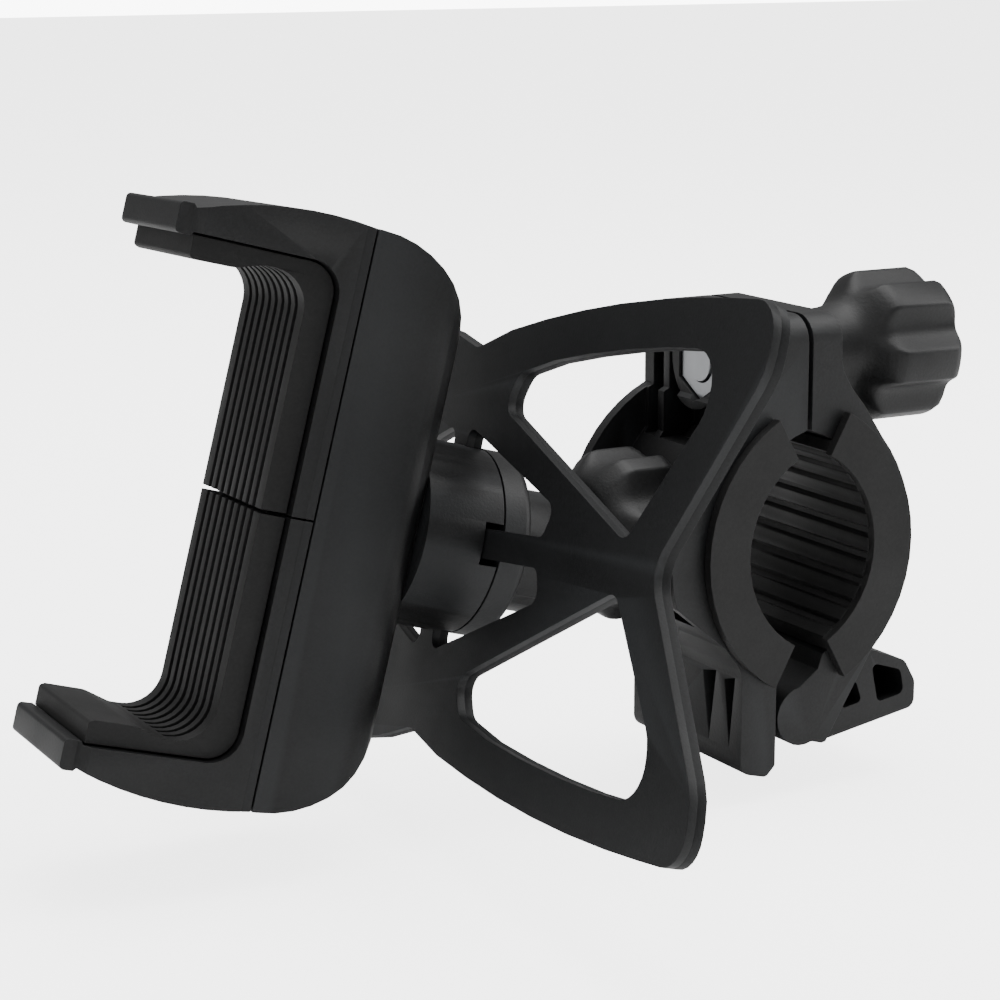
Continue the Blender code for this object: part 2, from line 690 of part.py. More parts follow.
def make_socket_boss():
    cavity = ball_radius + gap
    mouth = degrees(acos(ball_mouth / cavity))
    ball_room = arc((ball_behind_body, 0), cavity, 90, mouth, 5)
    bore = seat_outer() + gap
    inside = [(boss_start, bore), (ball_behind_body - 0.1 * mm, bore)] + ball_room
    solid = turned("socket_boss", boss_profile() + inside)
    for at in boss_screw_places().values():
        hole = rod("hole", screw_radius + gap / 2, boss_start - 2 * mm, boss_start + 12 * mm, at=at, sides=20)
        sink = rod("sink", screw_head_radius + gap, boss_start + boss_sink, 50 * mm, at=at, sides=24)
        cut(solid, hole, sink)
    return solid


def seat_outer():
    return ball_radius + seat_wall


def make_ball_seat():
    cavity = ball_radius + gap
    recess = arc((ball_behind_body, 0), cavity, 180, 94, 10)
    rim = recess[-1][0]
    profile = [(ball_behind_body - cavity, 0)] + recess[1:] + [(rim, seat_outer()),
               (boss_start + 0.2 * mm, seat_outer()), (boss_start + 0.2 * mm, 0)]
    return turned("ball_seat", profile, steps=40)


def band_edge(w):
    """Height of the band's long edge, a shallow arch."""
    return band_half_height - 1.76 * ((w - 60 * mm) ** 2) / 1000 / mm


def four_ways(outline):
    """The outline in each quarter of the band."""
    other = mirrored(outline, 0)
    return [outline, other, mirrored(outline, 1), mirrored(other, 1)]


def make_band():
    end, top = band_half_length, band_half_height
    edge = [(w * mm, band_edge(w * mm), 0) for w in (10, 20, 30, 40, 50, 60, 68)]
    quarter = edge + [(end, top - 0.4 * mm, 4.5 * mm), (end - 0.2 * mm, 25.5 * mm, 8 * mm)]
    below = [(x, -y, radius) for x, y, radius in reversed(quarter)]
    right = [(0, band_waist, 3 * mm)] + quarter + [(end - 18.7 * mm, 0, 5 * mm)] + below
    left = [(-x, -y, radius) for x, y, radius in right]
    outline = rounded(right + left)
    arch = [(w * mm, band_edge(w * mm) - 6.3 * mm, 0) for w in (24, 34, 44, 54)]
    corner_window = rounded(
        [(51.6 * mm, 3.2 * mm, 2.4 * mm), (11.6 * mm, 19.2 * mm, 2.4 * mm), (14.6 * mm, 24.2 * mm, 3 * mm)]
        + arch + [(67 * mm, 28.2 * mm, 5 * mm), (65.6 * mm, 20 * mm, 5 * mm)]
    )
    middle_window = rounded([(band_bar, band_bar, 1.4 * mm), (29.6 * mm, band_bar, 1.6 * mm),
                             (31.6 * mm, 6.4 * mm, 1.8 * mm), (band_bar, 16.4 * mm, 1.6 * mm)])
    loops = [outline] + four_ways(corner_window) + four_ways(middle_window)
    return flat("security_band", loops, band_start, band_end, "YZ")


def body_outer(name):
    side = [(0, -half_height, 0), (0, half_height, 0), (body_depth, half_height, body_end_radius),
            (body_depth, -half_height, body_end_radius)]
    half = cradle_width / 2
    plan = [(0, -half, 0), (0, half, 0), (body_depth, half, body_side_radius),
            (body_depth, -half, body_side_radius)]
    shape = flat(name, [rounded(side, 9)], -half - 1 * mm, half + 1 * mm, "XZ")
    return keep_common(shape, flat("plan", [rounded(plan)], -half_height - 1 * mm, half_height + 1 * mm, "XY"))


def body_cavity():
    inner, half = half_height - body_wall, cradle_width / 2 - body_wall
    depth = body_depth - body_wall
    side = [(-1 * mm, -inner, 0), (-1 * mm, inner, 0), (depth, inner, body_end_radius - body_wall),
            (depth, -inner, body_end_radius - body_wall)]
    plan = [(-1 * mm, -half, 0), (-1 * mm, half, 0), (depth, half, body_side_radius - body_wall),
            (depth, -half, body_side_radius - body_wall)]
    shape = flat("cavity", [rounded(side, 12)], -half, half, "XZ")
    return keep_common(shape, flat("plan", [rounded(plan)], -inner, inner, "XY"))


def cover_screw_place(side):
    return (0.0, side * (half_height - 3.4 * mm))


def make_barrel():
    """The round pedestal behind the body; its end stands through the band, whose bars lie in its cross slots."""
    barrel = rod("barrel", boss_radius, body_depth - 1 * mm, band_end, sides=56)
    floor, wide = band_start - gap, boss_radius + 1 * mm
    cut(barrel, box("slot", (floor, -wide, -band_slot), (band_end + 1 * mm, wide, band_slot)))
    cut(barrel, box("slot", (floor, -band_slot, -wide), (band_end + 1 * mm, band_slot, wide)))
    for at in boss_screw_places().values():
        cut(barrel, rod("hole", screw_radius + gap / 2, body_depth + 1 * mm, band_end + 1 * mm, at=at, sides=20))
    barrel.data.transform(Matrix.Rotation(radians(band_turn), 4, "X"))
    return barrel


def make_body():
    body = cut(body_outer("housing_rear"), body_cavity())
    for side in (-1, 1):
        at = cover_screw_place(side)
        boss = rod("boss", screw_head_radius + 1.3 * mm, 0, body_depth, at=at, sides=28)
        join(body, keep_common(boss, body_outer("limit")))
    join(body, rod("pinion_boss", post_radius + 1.0 * mm, gear_start + gear_face + gap, body_depth - 1 * mm, sides=20))
    join(body, make_barrel())
    for side in (-1, 1):
        at = cover_screw_place(side)
        cut(body, rod("hole", screw_radius + gap / 2, -1 * mm, 9 * mm, at=at, sides=20))
        cut(body, rod("sink", screw_head_radius + gap, 5.6 * mm, body_depth + 2 * mm, at=at, sides=24))
        room = rod("rod_room", rod_diameter / 2 + gap, -rod_half() - gap, rod_half() + gap,
                   axis="Z", at=(rod_depth, side * rod_spread), sides=20)
        cut(body, room)
    cut(body, rod("post_hole", post_radius + gap, gear_start, 10 * mm, sides=20))
    return body


def rod_half():
    return half_height - 2.6 * mm


def make_cover():
    half = cradle_width / 2 - body_wall - 0.4 * mm
    plate = box("cover_plate", (-gap - cover_wall, -half, -(half_height - 1.8 * mm)),
                (-gap, half, half_height - 1.8 * mm))
    for side in (-1, 1):
        low, high = sorted((side * (slider_near - 0.4 * mm), side * (slider_near + slider_height + jaw_travel + 0.6 * mm)))
        cut(plate, box("slot", (-5 * mm, -2.8 * mm, low), (1 * mm, 2.8 * mm, high)))
        cut(plate, rod("hole", screw_radius + gap / 2, -5 * mm, 1 * mm, at=cover_screw_place(side), sides=20))
    return cut(plate, rod("post_hole", post_radius + gap, -5 * mm, 1 * mm, sides=20))


def inverse_function(angle):
    return tan(angle) - angle


def make_pinion():
    pressure = radians(gear_pressure)
    base = gear_radius * cos(pressure)
    tip = gear_radius + gear_addendum * gear_module
    root = gear_radius - gear_dedendum * gear_module
    at_pitch = pi / 2 / gear_teeth - gear_backlash / 2 / gear_radius
    flank = []
    for k in range(4):
        radius = base + (tip - base) * k / 3
        half = at_pitch + inverse_function(pressure) - inverse_function(acos(base / radius))
        flank.append((radius, half))
    flank.insert(0, (root, flank[0][1]))
    outline = []
    for k in range(gear_teeth):
        middle = 2 * pi * k / gear_teeth
        for radius, half in flank:
            outline.append((radius * cos(middle - half), radius * sin(middle - half)))
        for radius, half in reversed(flank):
            outline.append((radius * cos(middle + half), radius * sin(middle + half)))
    gear = flat("sync_pinion", [outline], gear_start, gear_start + gear_face, "YZ")
    return cut(gear, rod("bore", post_radius + gap, 0, 9 * mm, sides=20))


def rack_outline():
    """The rack arm with its teeth towards the pinion; a tooth gap faces the pinion's centre line."""
    pitch = pi * gear_module
    lean = tan(radians(gear_pressure))
    root = gear_radius + gear_dedendum * gear_module
    tip = gear_radius - gear_addendum * gear_module
    bottom = -jaw_travel - 0.6 * mm
    points = [(cradle_width / 2 - body_wall - 1.0 * mm, bottom),
              (cradle_width / 2 - body_wall - 1.0 * mm, slider_near + 0.3 * mm), (root, slider_near + 0.3 * mm)]
    for k in range(1, -6, -1):
        centre = (k + 0.5) * pitch
        wide = pitch / 4 + gear_dedendum * gear_module * lean - gear_backlash / 2
        narrow = pitch / 4 - gear_addendum * gear_module * lean - gear_backlash / 2
        if centre - wide < bottom:
            continue
        points += [(root, centre + wide), (tip, centre + narrow), (tip, centre - narrow), (root, centre - wide)]
    return points + [(root, bottom)]


def make_slider():
    half = cradle_width / 2 - body_wall - 0.6 * mm
    far = slider_near + slider_height
    slider = box("upper_slider", (0.6 * mm, -half, slider_near), (0.6 * mm + slider_depth, half, far))
    join(slider, box("fin", (slider_depth, -6.3 * mm, slider_near),
                     (spring_depth + spring_radius + 0.4 * mm, 6.3 * mm, slider_near + 2.3 * mm)))
    join(slider, flat("rack", [rack_outline()], gear_start, gear_start + gear_face, "YZ"))
    for side in (-1, 1):
        cut(slider, rod("rod_room", rod_diameter / 2 + running, slider_near - 1 * mm, far + 1 * mm,
                        axis="Z", at=(rod_depth, side * rod_spread), sides=20))
    at = (0, slider_near + slider_height / 2)
    cut(slider, rod("hole", screw_radius + gap / 2, -1 * mm, 9 * mm, at=at, sides=20))
    return cut(slider, rod("sink", screw_head_radius + gap, 6.4 * mm, 20 * mm, at=at, sides=24))


def make_jaw():
    """The upper jaw; the lower one is the same piece turned half a turn about the cradle's back axis."""
    half = cradle_width / 2
    crown = arc_through((-0.3 * mm, half_height), (-12.5 * mm, half_height + 0.2 * mm),
                        (2.2 * mm - lip_reach, half_height - 2.7 * mm), 8)
    outline = [(-flange_front, gap / 2), (-gap, gap / 2)] + crown
    outline += rounded(
        [
            (1.9 * mm - lip_reach, half_height - 2.2 * mm, 0),
            (-lip_reach, half_height - 2.2 * mm, 0.7 * mm),
            (-lip_reach, lip_inner - 0.5 * mm, 0.7 * mm),
            (2.2 * mm - lip_reach, lip_inner - 0.5 * mm, 0),
            (2.4 * mm - lip_reach, lip_inner, 0),
            (-flange_front, lip_inner, 4.5 * mm),
            (-flange_front, gap / 2, 0),
        ]
    )[:-1]
    jaw = flat("upper_jaw", [outline], -half, half, "XZ")
    raised = [(-3 * mm, gap / 2, 0), (-3 * mm, lip_inner + 1.5 * mm, 0), (3 * mm - lip_reach, lip_inner + 1.5 * mm, 0),
              (3 * mm - lip_reach, lip_inner - 0.7 * mm, 0), (-plate_front, lip_inner - 0.7 * mm, 4 * mm),
              (-plate_front, gap / 2, 0)]
    join(jaw, flat("raised", [rounded(raised)], -8.5 * mm, 8.5 * mm, "XZ"))
    narrow = half - 1.6 * mm
    plan = [(1 * mm, -half - 1 * mm), (1 * mm, half + 1 * mm), (3.4 * mm - lip_reach, half + 0.1 * mm),
            (1.8 * mm - lip_reach, narrow), (-lip_reach - 1 * mm, narrow), (-lip_reach - 1 * mm, -narrow),
            (1.8 * mm - lip_reach, -narrow), (3.4 * mm - lip_reach, -half - 0.1 * mm)]
    keep_common(jaw, flat("plan", [plan], -1 * mm, half_height + 5 * mm, "XY"))
    inside = half - body_wall - 0.1 * mm
    cut(jaw, box("inside", (-gap - cover_wall - gap, -inside, -1 * mm), (1 * mm, inside, half_height - 1.5 * mm)))
    at = (0, slider_near + slider_height / 2)
    join(jaw, rod("stud", 2.2 * mm, -3.2 * mm, 0.3 * mm, at=at, sides=24))
    return cut(jaw, rod("hole", screw_radius + gap / 2, -4.7 * mm, 2 * mm, at=at, sides=20))


def arc_through(one, two, three, pieces):
    """Points of the arc through three points."""
    a, b, c = (Vector(p) for p in (one, two, three))
    d = 2 * (a.x * (b.y - c.y) + b.x * (c.y - a.y) + c.x * (a.y - b.y))
    ux = (a.length_squared * (b.y - c.y) + b.length_squared * (c.y - a.y) + c.length_squared * (a.y - b.y)) / d
    uy = (a.length_squared * (c.x - b.x) + b.length_squared * (a.x - c.x) + c.length_squared * (b.x - a.x)) / d
    centre = Vector((ux, uy))
    start = atan2(*reversed((a - centre).to_tuple()))
    end = atan2(*reversed((c - centre).to_tuple()))
    if abs(end - start) > pi:
        end += 2 * pi if end < start else -2 * pi
    return arc(centre.to_tuple(), (a - centre).length, degrees(start), degrees(end), pieces)


def make_jaw_pad():
    reach = lip_reach - 2.6 * mm
    corners = [
        (-flange_front - gap, gap, 0),
        (-flange_front - gap, lip_inner - gap, 4.2 * mm),
        (-reach, lip_inner - gap, 0),
        (-reach, pad_inner + 0.3 * mm, 0.6 * mm),
        (-reach + 0.8 * mm, pad_inner, 0.5 * mm),
        (-18.5 * mm, pad_inner + 0.1 * mm, 4 * mm),
        (-14.5 * mm, pad_valley, 3 * mm),
        (-rib_front, pad_valley, 5.2 * mm),
        (-rib_front, gap, 0),
    ]
    half = jaw_pad_width / 2
    pad = flat("upper_jaw_pad", [rounded(corners, 12)], -half, half, "XZ")
    pocket = [(-3 * mm, -1 * mm, 0), (-3 * mm, lip_inner + 2 * mm, 0), (2.7 * mm - lip_reach, lip_inner + 2 * mm, 0),
              (2.7 * mm - lip_reach, lip_inner - 0.7 * mm - gap, 0),
              (-plate_front - gap, lip_inner - 0.7 * mm - gap, 3.7 * mm), (-plate_front - gap, -1 * mm, 0)]
    cut(pad, flat("pocket", [rounded(pocket)], -8.5 * mm - gap, 8.5 * mm + gap, "XZ"))
    deep = 0.8 * mm
    groove = rounded([(-rib_front + deep, -1 * mm, 0), (-rib_front + deep, pad_valley + deep, 5.9 * mm),
                      (-13.4 * mm, pad_valley + deep, 0), (-13.4 * mm, pad_valley - 1.2 * mm, 0),
                      (-rib_front - 1.4 * mm, pad_valley - 1.2 * mm, 4 * mm), (-rib_front - 1.4 * mm, -1 * mm, 0)])
    for k in range(jaw_rib_count - 1):
        y = (k - (jaw_rib_count - 2) / 2) * jaw_rib_pitch
        cut(pad, flat("groove", [groove], y - 0.55 * mm, y + 0.55 * mm, "XZ"))
    return pad


def make_spring(name, side):
    turns, per_turn = 9, 8
    end = slider_near - gap - spring_wire / 2
    curve = bpy.data.curves.new(name, "CURVE")
    curve.dimensions = "3D"
    curve.bevel_depth = spring_wire / 2
    curve.bevel_resolution = 1
    curve.use_fill_caps = True
    spline = curve.splines.new("POLY")
    count = turns * per_turn
    spline.points.add(count)
    radius = spring_radius - spring_wire / 2
    for k, point in enumerate(spline.points):
        turn = 2 * pi * k / per_turn
        z = -end + 2 * end * k / count
        point.co = (spring_depth + radius * cos(turn), side * spring_spread + radius * sin(turn), z, 1)
    drawn = bpy.data.objects.new(name, curve)
    bpy.context.scene.collection.objects.link(drawn)
    return drawn


# ---- assembly -------------------------------------------------------------------------------------------
def build():
    clamp = empty("clamp_frame", Matrix())
    hinge = empty("hinge_frame", Matrix.Translation((0, 0, -hinge_drop)))
    bolt = empty("bolt_frame", Matrix.Translation((0, 0, bolt_height)))
    swivel = empty("swivel_frame", Matrix.Translation((0, 0, stem_height)))
    tilt = Matrix.Rotation(radians(cradle_tilt), 4, "Y") @ Matrix.Rotation(radians(cradle_roll), 4, "X")
    tilt = tilt @ Matrix.Rotation(radians(cradle_yaw), 4, "Z")
    ball = empty("ball_frame", Matrix.Translation((-ball_reach, 0, stem_height)) @ tilt)
    rim = ball.matrix_world @ Matrix.Translation((-ball_behind_body, 0, 0))
    turned_rim = rim @ Matrix.Rotation(radians(band_turn), 4, "X")
    pinion_frame = empty("pinion_frame", rim)
    world = Matrix()

    def add(thing, look, frame, design, smooth=False):
        finish_piece(thing, look, frame, smooth)
        thing.matrix_local = frame.matrix_world.inverted() @ design
        return thing

    def twin(thing, name):
        """The same piece half a turn round the cradle's back axis."""
        other = bpy.data.objects.new(name, thing.data)
        parts.objects.link(other)
        other.parent = ball
        other.matrix_local = ball.matrix_world.inverted() @ rim @ Matrix.Rotation(pi, 4, "X")

    add(make_fixed_jaw(), black_plastic, clamp, world)
    add(make_bore_pad("fixed_jaw_pad", -1), dark_rubber, clamp, world)
    add(make_hex_nut(), zinc_steel, clamp, world)
    pin = rod("hinge_pin", hinge_pin_diameter / 2, -hinge_pin_half, hinge_pin_half,
              axis="Y", at=(0, -hinge_drop), sides=28)
    add(pin, zinc_steel, hinge, world, True)
    add(make_swing_jaw(), black_plastic, hinge, world)
    add(make_bore_pad("swing_jaw_pad", 1), dark_rubber, hinge, world)
    add(make_washer(), zinc_steel, bolt, world)
    add(make_bolt(), zinc_steel, bolt, world, True)
    add(make_knob(), black_plastic, bolt, world)

    add(make_stem(), black_plastic, swivel, world, True)
    add(make_stem_washer(), white_nylon, swivel, world)
    add(make_lock_nut(), black_plastic, swivel, world)
    add(make_ball_seat(), black_plastic, ball, rim, True)
    add(make_socket_boss(), black_plastic, ball, turned_rim)
    add(make_band(), web_rubber, ball, turned_rim)
    for name, at in boss_screw_places().items():
        end = boss_start + boss_sink + gap + 0.2 * mm
        add(screw("boss_screw_" + name, body_depth + 1.4 * mm, end, at), zinc_steel, ball, turned_rim)

    add(make_body(), black_plastic, ball, rim)
    add(make_cover(), black_plastic, ball, rim)
    for name, side in (("upper", 1), ("lower", -1)):
        cover_screw = screw("cover_screw_" + name, -2.1 * mm, 6.1 * mm, cover_screw_place(side))
        add(cover_screw, zinc_steel, ball, rim)
    for name, side in (("near", -1), ("far", 1)):
        guide = rod("guide_rod_" + name, rod_diameter / 2, -rod_half(), rod_half(),
                    axis="Z", at=(rod_depth, side * rod_spread), sides=20)
        add(guide, zinc_steel, ball, rim, True)
        add(make_spring("jaw_spring_" + name, side), zinc_steel, ball, rim)
    add(make_pinion(), white_nylon, pinion_frame, rim)
    add(rod("pinion_post", post_radius, -2.0 * mm, 9.0 * mm, sides=20), zinc_steel, pinion_frame, rim, True)

    slider = add(make_slider(), white_nylon, ball, rim)
    twin(slider, "lower_slider")
    slider_screw = screw("slider_screw_upper", -4.4 * mm, 6.9 * mm, (0, slider_near + slider_height / 2))
    add(slider_screw, zinc_steel, ball, rim)
    twin(slider_screw, "slider_screw_lower")
    jaw = add(make_jaw(), black_plastic, ball, rim)
    twin(jaw, "lower_jaw")
    pad = add(make_jaw_pad(), dark_rubber, ball, rim)
    twin(pad, "lower_jaw_pad")


clear_scene()
parts = new_collection(collection_name)
build()
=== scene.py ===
import json
from math import cos, pi, radians, sin

import bmesh
import bpy
from mathutils import Matrix, Vector


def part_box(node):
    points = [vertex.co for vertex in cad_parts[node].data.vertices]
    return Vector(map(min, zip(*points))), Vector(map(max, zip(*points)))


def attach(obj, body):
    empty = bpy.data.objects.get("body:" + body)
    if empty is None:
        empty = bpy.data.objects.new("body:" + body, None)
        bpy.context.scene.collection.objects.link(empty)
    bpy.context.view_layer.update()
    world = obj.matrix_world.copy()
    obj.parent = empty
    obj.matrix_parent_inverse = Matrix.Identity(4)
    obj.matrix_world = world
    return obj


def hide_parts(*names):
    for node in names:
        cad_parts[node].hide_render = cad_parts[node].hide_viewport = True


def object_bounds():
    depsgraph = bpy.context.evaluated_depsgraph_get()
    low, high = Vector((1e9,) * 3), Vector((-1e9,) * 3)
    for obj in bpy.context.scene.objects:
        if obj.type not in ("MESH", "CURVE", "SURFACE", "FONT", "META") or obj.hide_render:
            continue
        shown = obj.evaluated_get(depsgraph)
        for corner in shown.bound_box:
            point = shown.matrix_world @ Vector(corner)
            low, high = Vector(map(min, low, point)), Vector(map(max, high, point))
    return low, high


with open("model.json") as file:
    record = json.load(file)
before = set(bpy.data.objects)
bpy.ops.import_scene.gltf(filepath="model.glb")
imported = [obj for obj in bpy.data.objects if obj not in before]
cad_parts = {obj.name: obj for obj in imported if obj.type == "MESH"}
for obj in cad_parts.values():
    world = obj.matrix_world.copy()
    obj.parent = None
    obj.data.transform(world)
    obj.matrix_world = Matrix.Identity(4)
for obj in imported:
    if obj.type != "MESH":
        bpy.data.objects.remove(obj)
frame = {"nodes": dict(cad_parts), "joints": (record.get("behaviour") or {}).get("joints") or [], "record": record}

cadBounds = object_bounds()
mm = 0.001
rimToPinion = 2.5 * mm   # from the cradle's rim plane back to the pinion's middle
bodyOf = {node: body for body, nodes in frame["record"]["behaviour"]["bodies"].items() for node in nodes}
slotOf = {part["node"]: part["material_slot"] for part in frame["record"]["subparts"]}
joints = {joint["name"]: joint for joint in frame["joints"]}

# frames worked out from the joints: the cradle's rim plane, the bolt's line and the swivel's line
backAxis = Vector(joints["pinion_spin"]["axis"]).normalized()
widthAxis = Vector(joints["upper_jaw_slide"]["axis"]).normalized()
lengthAxis = widthAxis.cross(backAxis)
cradleTurn = Matrix((backAxis, lengthAxis, widthAxis)).transposed().to_4x4()
rimCentre = Vector(joints["pinion_spin"]["pos_m"]) - backAxis * rimToPinion
rimFrame = Matrix.Translation(rimCentre) @ cradleTurn
boltFrame = Matrix.Translation((0, 0, joints["knob_turn"]["pos_m"][2]))
swivelFrame = Matrix.Translation((0, 0, joints["swivel_turn"]["pos_m"][2]))


def linear(hexColour):
    values = [int(hexColour[k:k + 2], 16) / 255 for k in (1, 3, 5)]
    return (*[v / 12.92 if v <= 0.04045 else ((v + 0.055) / 1.055) ** 2.4 for v in values], 1.0)


# settings are the node's own fields or its sockets' values; links take the outputs its sockets read
def addNode(tree, kind, settings=None, links=None):
    node = tree.nodes.new(kind)
    for key, value in (settings or {}).items():
        if isinstance(key, str) and hasattr(node, key):
            setattr(node, key, value)
        else:
            node.inputs[key].default_value = value
    for key, output in (links or {}).items():
        tree.links.new(output, node.inputs[key])
    return node


def newMaterial(name):
    made = bpy.data.materials.new(name)
    made.use_nodes = True
    tree = made.node_tree
    tree.nodes.clear()
    place = addNode(tree, "ShaderNodeTexCoord").outputs["Object"]
    return made, tree, place


def perMm(size):
    return 1 / (size * mm)   # noise and cell scale for a feature of that many millimetres


# spark-eroded mould texture: fine grain in both colour and height; sharp edges painted paler, partly rub wear and
# partly a painted highlight standing in for the light that catches the edges
def mouldedPlastic(name, look):
    made, tree, place = newMaterial(name)
    grain = addNode(tree, "ShaderNodeTexNoise",
                    {"Scale": perMm(look["grain"]), "Detail": 3.0, "Roughness": 0.6}, {"Vector": place})
    cloud = addNode(tree, "ShaderNodeTexNoise", {"Scale": perMm(14), "Detail": 2.0}, {"Vector": place})
    speck = addNode(tree, "ShaderNodeMapRange", {"From Min": 0.36, "From Max": 0.68},
                    {"Value": grain.outputs["Fac"]})
    colour = addNode(tree, "ShaderNodeMix",
                     {"data_type": "RGBA", 6: linear(look["deep"]), 7: linear(look["pale"])},
                     {0: speck.outputs["Result"]})
    # sharp edges painted paler by pointiness: part rub wear, part painted highlight along the edges
    edgePointiness = addNode(tree, "ShaderNodeNewGeometry")
    ridge = addNode(tree, "ShaderNodeMapRange", {"From Min": 0.53, "From Max": 0.64, "To Max": look["edgeWearAndHighlight"]},
                    {"Value": edgePointiness.outputs["Pointiness"]})
    rubbedAndHighlighted = addNode(tree, "ShaderNodeMix", {"data_type": "RGBA", 7: linear(look["edge"])},
                     {0: ridge.outputs["Result"], 6: colour.outputs[2]})
    rough = addNode(tree, "ShaderNodeMapRange",
                    {"From Min": 0.3, "From Max": 0.7, "To Min": look["rough"] - 0.05,
                     "To Max": look["rough"] + 0.06},
                    {"Value": cloud.outputs["Fac"]})
    soft = addNode(tree, "ShaderNodeBevel", {"samples": 4, "Radius": look["softEdge"] * mm})
    bump = addNode(tree, "ShaderNodeBump", {"Strength": look["bump"], "Distance": 0.06 * mm},
                   {"Height": grain.outputs["Fac"], "Normal": soft.outputs["Normal"]})
    shader = addNode(tree, "ShaderNodeBsdfPrincipled", {"IOR": look["ior"], "Metallic": 0.0},
                     {"Base Color": rubbedAndHighlighted.outputs[2], "Roughness": rough.outputs["Result"],
                      "Normal": bump.outputs["Normal"]})
    addNode(tree, "ShaderNodeOutputMaterial", None, {"Surface": shader.outputs["BSDF"]})
    return made


# zinc plate: a bright skin with faint cloudy drift and fine turning lines
def zincPlatedSteel(name):
    made, tree, place = newMaterial(name)
    cloud = addNode(tree, "ShaderNodeTexNoise", {"Scale": perMm(3), "Detail": 4.0}, {"Vector": place})
    colour = addNode(tree, "ShaderNodeMix", {"data_type": "RGBA", 6: linear("#a9abae"), 7: linear("#c4c6c8")},
                     {0: cloud.outputs["Fac"]})
    rough = addNode(tree, "ShaderNodeMapRange", {"To Min": 0.26, "To Max": 0.42},
                    {"Value": cloud.outputs["Fac"]})
    lines = addNode(tree, "ShaderNodeTexNoise", {"Scale": perMm(0.3), "Detail": 1.0}, {"Vector": place})
    bump = addNode(tree, "ShaderNodeBump", {"Strength": 0.15, "Distance": 0.03 * mm},
                   {"Height": lines.outputs["Fac"]})
    shader = addNode(tree, "ShaderNodeBsdfPrincipled", {"Metallic": 1.0},
                     {"Base Color": colour.outputs[2], "Roughness": rough.outputs["Result"],
                      "Normal": bump.outputs["Normal"]})
    addNode(tree, "ShaderNodeOutputMaterial", None, {"Surface": shader.outputs["BSDF"]})
    return made


finishes = {
    # glass-filled nylon, injection moulded in a spark-eroded tool: matt, finely speckled black
    "mouldedNylon": mouldedPlastic("glassFilledNylonMoulded", {
        "grain": 0.42, "deep": "#050506", "pale": "#0f1011", "edge": "#2f3133", "edgeWearAndHighlight": 0.4,
        "rough": 0.50, "ior": 1.50, "bump": 0.6, "softEdge": 0.16}),
    # thermoplastic rubber, moulded in ribs: a softer black with less sheen
    "ribbedRubber": mouldedPlastic("thermoplasticRubberMoulded", {
        "grain": 0.5, "deep": "#060606", "pale": "#101010", "edge": "#242425", "edgeWearAndHighlight": 0.3,
        "rough": 0.62, "ior": 1.50, "bump": 0.4, "softEdge": 0.14}),
    # silicone rubber sheet, compression moulded: even, faintly blue black, silky
    "siliconeBand": mouldedPlastic("siliconeRubberMoulded", {
        "grain": 0.36, "deep": "#08090a", "pale": "#121315", "edge": "#343638", "edgeWearAndHighlight": 0.4,
        "rough": 0.55, "ior": 1.43, "bump": 0.35, "softEdge": 0.18}),
    # natural nylon, moulded smooth: creamy and slightly waxy
    "naturalNylon": mouldedPlastic("naturalNylonMoulded", {
        "grain": 0.8, "deep": "#cfcabd", "pale": "#ddd8cc", "edge": "#e6e2d8", "edgeWearAndHighlight": 0.2,
        "rough": 0.42, "ior": 1.53, "bump": 0.12, "softEdge": 0.1}),
    "zincSteel": zincPlatedSteel("zincPlatedSteelTurned"),
}
finishOfSlot = {"moulded_black": "mouldedNylon", "ribbed_rubber": "ribbedRubber", "web_rubber": "siliconeBand",
                "zinc_steel": "zincSteel", "natural_nylon": "naturalNylon"}
print("finishes made:", len(finishes))


def addPiece(name, mesh, node, replaced=True):
    piece = bpy.data.objects.new(name, mesh)
    bpy.context.scene.collection.objects.link(piece)
    piece.data.materials.clear()
    piece.data.materials.append(finishes[finishOfSlot[slotOf[node]]])
    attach(piece, bodyOf[node])
    if replaced:
        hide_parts(node)
    return piece


def smoothShading(piece, angle=32):
    piece.data.shade_smooth()
    piece.data.set_sharp_from_angle(angle=radians(angle))
    return piece


def roundEdges(piece, width, segments=2, angle=34):
    rounding = piece.modifiers.new("roundedEdges", "BEVEL")
    rounding.width = width * mm
    rounding.segments = segments
    rounding.limit_method = "ANGLE"
    rounding.angle_limit = radians(angle)
    rounding.harden_normals = True
    rounding.miter_outer = "MITER_ARC"
    return piece


# the node's own shape as clean flat faces, in the row frame
def cleanMesh(name, node, flatness=0.6):
    shape = bmesh.new()
    shape.from_mesh(frame["nodes"][node].data)
    bmesh.ops.remove_doubles(shape, verts=shape.verts, dist=0.002 * mm)
    bmesh.ops.dissolve_limit(shape, angle_limit=radians(flatness), verts=shape.verts, edges=shape.edges)
    mesh = bpy.data.meshes.new(name)
    shape.to_mesh(mesh)
    shape.free()
    return mesh


def moulded(name, node, width, segments=2, angle=34):
    piece = addPiece(name, cleanMesh(name, node), node)
    smoothShading(piece)
    return roundEdges(piece, width, segments, angle)


# a fine line round a piece where two halves of its mould met, at a distance along the back axis
def partingLine(piece, level, half=0.13, deep=0.06):
    shape = bmesh.new()
    shape.from_mesh(piece.data)
    for offset in (-half, half, 0.0):
        everything = shape.verts[:] + shape.edges[:] + shape.faces[:]
        cutPlace = rimFrame @ Vector(((level + offset) * mm, 0, 0))
        found = bmesh.ops.bisect_plane(shape, geom=everything, dist=0.001 * mm,
                                       plane_co=cutPlace, plane_no=backAxis)
    shape.normal_update()
    middle = [vert for vert in found["geom_cut"] if isinstance(vert, bmesh.types.BMVert)]
    pushes = []
    for vert in middle:
        across = vert.normal - backAxis * vert.normal.dot(backAxis)
        pushes.append(across.normalized() * deep * mm if across.length > 0.3 else Vector())
    for vert, push in zip(middle, pushes):
        vert.co -= push
    shape.to_mesh(piece.data)
    shape.free()
    return piece


